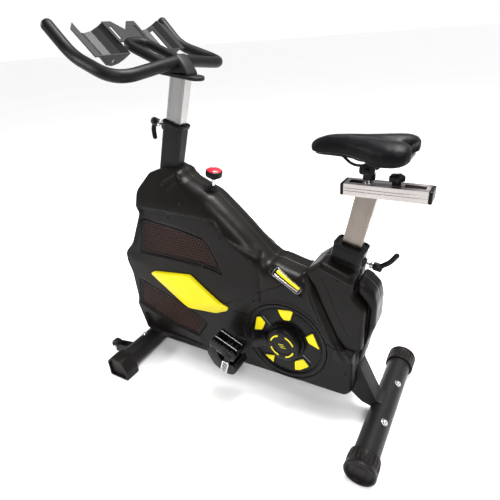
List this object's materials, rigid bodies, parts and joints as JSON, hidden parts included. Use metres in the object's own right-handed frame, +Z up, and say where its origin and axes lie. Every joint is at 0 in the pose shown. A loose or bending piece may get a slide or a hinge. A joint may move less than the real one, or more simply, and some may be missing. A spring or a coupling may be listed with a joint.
{
  "type": "indoor spin bike",
  "caption": "Enclosed spin bike: black cover with yellow side blades, sliding aluminium posts, saddle on a fore-aft beam, looped handlebar with bottle rack, caged pedals and stabiliser feet.",
  "frame": {"origin": "on the floor under the middle of the bike's outer box", "axes": "+X towards the rear, -X towards the handlebar; +Z up; -Y is the rider's left side"},
  "size_m": [1.12, 0.526, 1.207],
  "materials": {
    "frame_steel": "satin black powder coat, fine texture",
    "extrusion": "brushed along its length, clear anodised",
    "cover_plastic": "injection-moulded, fine leather grain",
    "bright_steel": "bright zinc plate",
    "yellow_trim": "smooth gloss yellow",
    "vent_mesh": "dark perforated sheet with a reddish tint",
    "hard_black": "smooth satin black",
    "foot_rubber": "firm satin rubber",
    "grip_foam": "matt soft-touch coat",
    "saddle_skin": "black leatherette with a fine grain",
    "cast_wheel": "turned rim, painted web",
    "belt_rubber": "ribbed rubber",
    "knob_red": "glossy red cap over a black skirt",
    "reflector": "prismatic yellow strip",
    "pad_felt": "pressed felt and rubber"
  },
  "bodies": {
    "frame": {"head_tube": "frame_steel", "main_tube": "frame_steel", "seat_tube": "frame_steel", "fork_legs": "frame_steel", "base_rails": "frame_steel", "rear_leg": "frame_steel", "front_stabiliser": "frame_steel", "rear_stabiliser": "frame_steel", "stabiliser_bolts": "bright_steel", "foot_caps": "foot_rubber", "wheel_brackets": "frame_steel", "bottom_bracket_shell": "frame_steel", "axle_bearings": "bright_steel", "shroud_left": "cover_plastic", "shroud_right": "cover_plastic", "tower_cover": "cover_plastic", "rear_cover": "cover_plastic", "vent_panels": "vent_mesh", "side_badges": "yellow_trim", "reflectors": "reflector", "ring_covers": "hard_black", "ring_inserts": "yellow_trim", "post_collar": "hard_black", "seat_collar": "hard_black", "knob_grommet": "belt_rubber", "shroud_screws": "bright_steel", "drive_belt": "belt_rubber"},
    "flywheel": {"flywheel": "cast_wheel", "flywheel_axle": "bright_steel", "small_pulley": "cast_wheel"},
    "crank": {"crank_spindle": "bright_steel", "crank_pulley": "hard_black", "crank_arm_left": "frame_steel", "crank_arm_right": "frame_steel", "hub_caps": "hard_black", "pedal_spindles": "bright_steel"},
    "pedal_left": {"pedal_left": "hard_black", "toe_cage_left": "hard_black"},
    "pedal_right": {"pedal_right": "hard_black", "toe_cage_right": "hard_black"},
    "wheel_left": {"transport_wheel_left": "hard_black"},
    "wheel_right": {"transport_wheel_right": "hard_black"},
    "brake_shoe": {"brake_pad": "pad_felt"},
    "brake_knob": {"brake_knob": "knob_red", "brake_rod": "bright_steel"},
    "handlebar": {"handlebar_post": "extrusion", "handlebar_stem": "frame_steel", "handlebar": "grip_foam", "bottle_rack": "frame_steel"},
    "post_lever": {"post_lever": "bright_steel"},
    "seat_mast": {"seat_post": "extrusion", "seat_slider": "extrusion", "slider_caps": "hard_black"},
    "seat_lever": {"seat_lever": "bright_steel"},
    "saddle_carriage": {"saddle_carriage": "bright_steel", "saddle_clamp": "frame_steel"},
    "slider_knob": {"slider_knob": "hard_black"},
    "saddle": {"saddle_rails": "bright_steel", "saddle_base": "hard_black", "saddle_cushion": "saddle_skin"}
  },
  "joints": [
    {"name": "flywheel_spin", "type": "hinge", "parent": "frame", "child": "flywheel", "pos_m": [-0.215, 0, 0.32], "axis": [0, 1, 0], "continuous": true},
    {"name": "crank_spin", "type": "hinge", "parent": "frame", "child": "crank", "pos_m": [0.19, 0, 0.258], "axis": [0, 1, 0], "continuous": true},
    {"name": "pedal_left_spin", "type": "hinge", "parent": "crank", "child": "pedal_left", "pos_m": [0.02258, -0.148, 0.22848], "axis": [0, 1, 0], "continuous": true},
    {"name": "pedal_right_spin", "type": "hinge", "parent": "crank", "child": "pedal_right", "pos_m": [0.35742, 0.148, 0.28752], "axis": [0, 1, 0], "continuous": true},
    {"name": "wheel_left_spin", "type": "hinge", "parent": "frame", "child": "wheel_left", "pos_m": [-0.533, -0.157, 0.051], "axis": [0, 1, 0], "continuous": true},
    {"name": "wheel_right_spin", "type": "hinge", "parent": "frame", "child": "wheel_right", "pos_m": [-0.533, 0.157, 0.051], "axis": [0, 1, 0], "continuous": true},
    {"name": "brake_push", "type": "slide", "parent": "frame", "child": "brake_shoe", "axis": [-0.2028, 0, -0.9792], "range_m": [0, 0.005], "stiffness_N_per_m": 2000, "springref_m": -0.006},
    {"name": "brake_knob_turn", "type": "hinge", "parent": "brake_shoe", "child": "brake_knob", "pos_m": [-0.081, 0, 0.715], "axis": [0.2028, 0, 0.9792], "range_deg": [-360, 360]},
    {"name": "handlebar_height", "type": "slide", "parent": "frame", "child": "handlebar", "axis": [0.309, 0, 0.9511], "range_m": [-0.08, 0.08]},
    {"name": "post_lever_turn", "type": "hinge", "parent": "frame", "child": "post_lever", "pos_m": [-0.26905, 0, 0.91486], "axis": [-0.9511, 0, 0.309], "range_deg": [-45, 45]},
    {"name": "seat_height", "type": "slide", "parent": "frame", "child": "seat_mast", "axis": [0.213, 0, 0.977], "range_m": [-0.12, 0.1]},
    {"name": "seat_lever_turn", "type": "hinge", "parent": "frame", "child": "seat_lever", "pos_m": [0.43957, 0, 0.5508], "axis": [0.977, 0, -0.213], "range_deg": [-45, 45]},
    {"name": "saddle_fore_aft", "type": "slide", "parent": "seat_mast", "child": "saddle_carriage", "axis": [1, 0, 0], "range_m": [-0.033, 0.05]},
    {"name": "slider_knob_turn", "type": "hinge", "parent": "saddle_carriage", "child": "slider_knob", "pos_m": [0.472, 0, 0.8], "axis": [0, 0, 1], "range_deg": [-180, 180]},
    {"name": "saddle_tilt", "type": "hinge", "parent": "saddle_carriage", "child": "saddle", "pos_m": [0.405, 0, 0.822], "axis": [0, 1, 0], "range_deg": [-12, 12]}
  ],
  "couplings": [
    {"joint": "crank_spin", "follows": "flywheel_spin", "ratio": 0.26923}
  ]
}
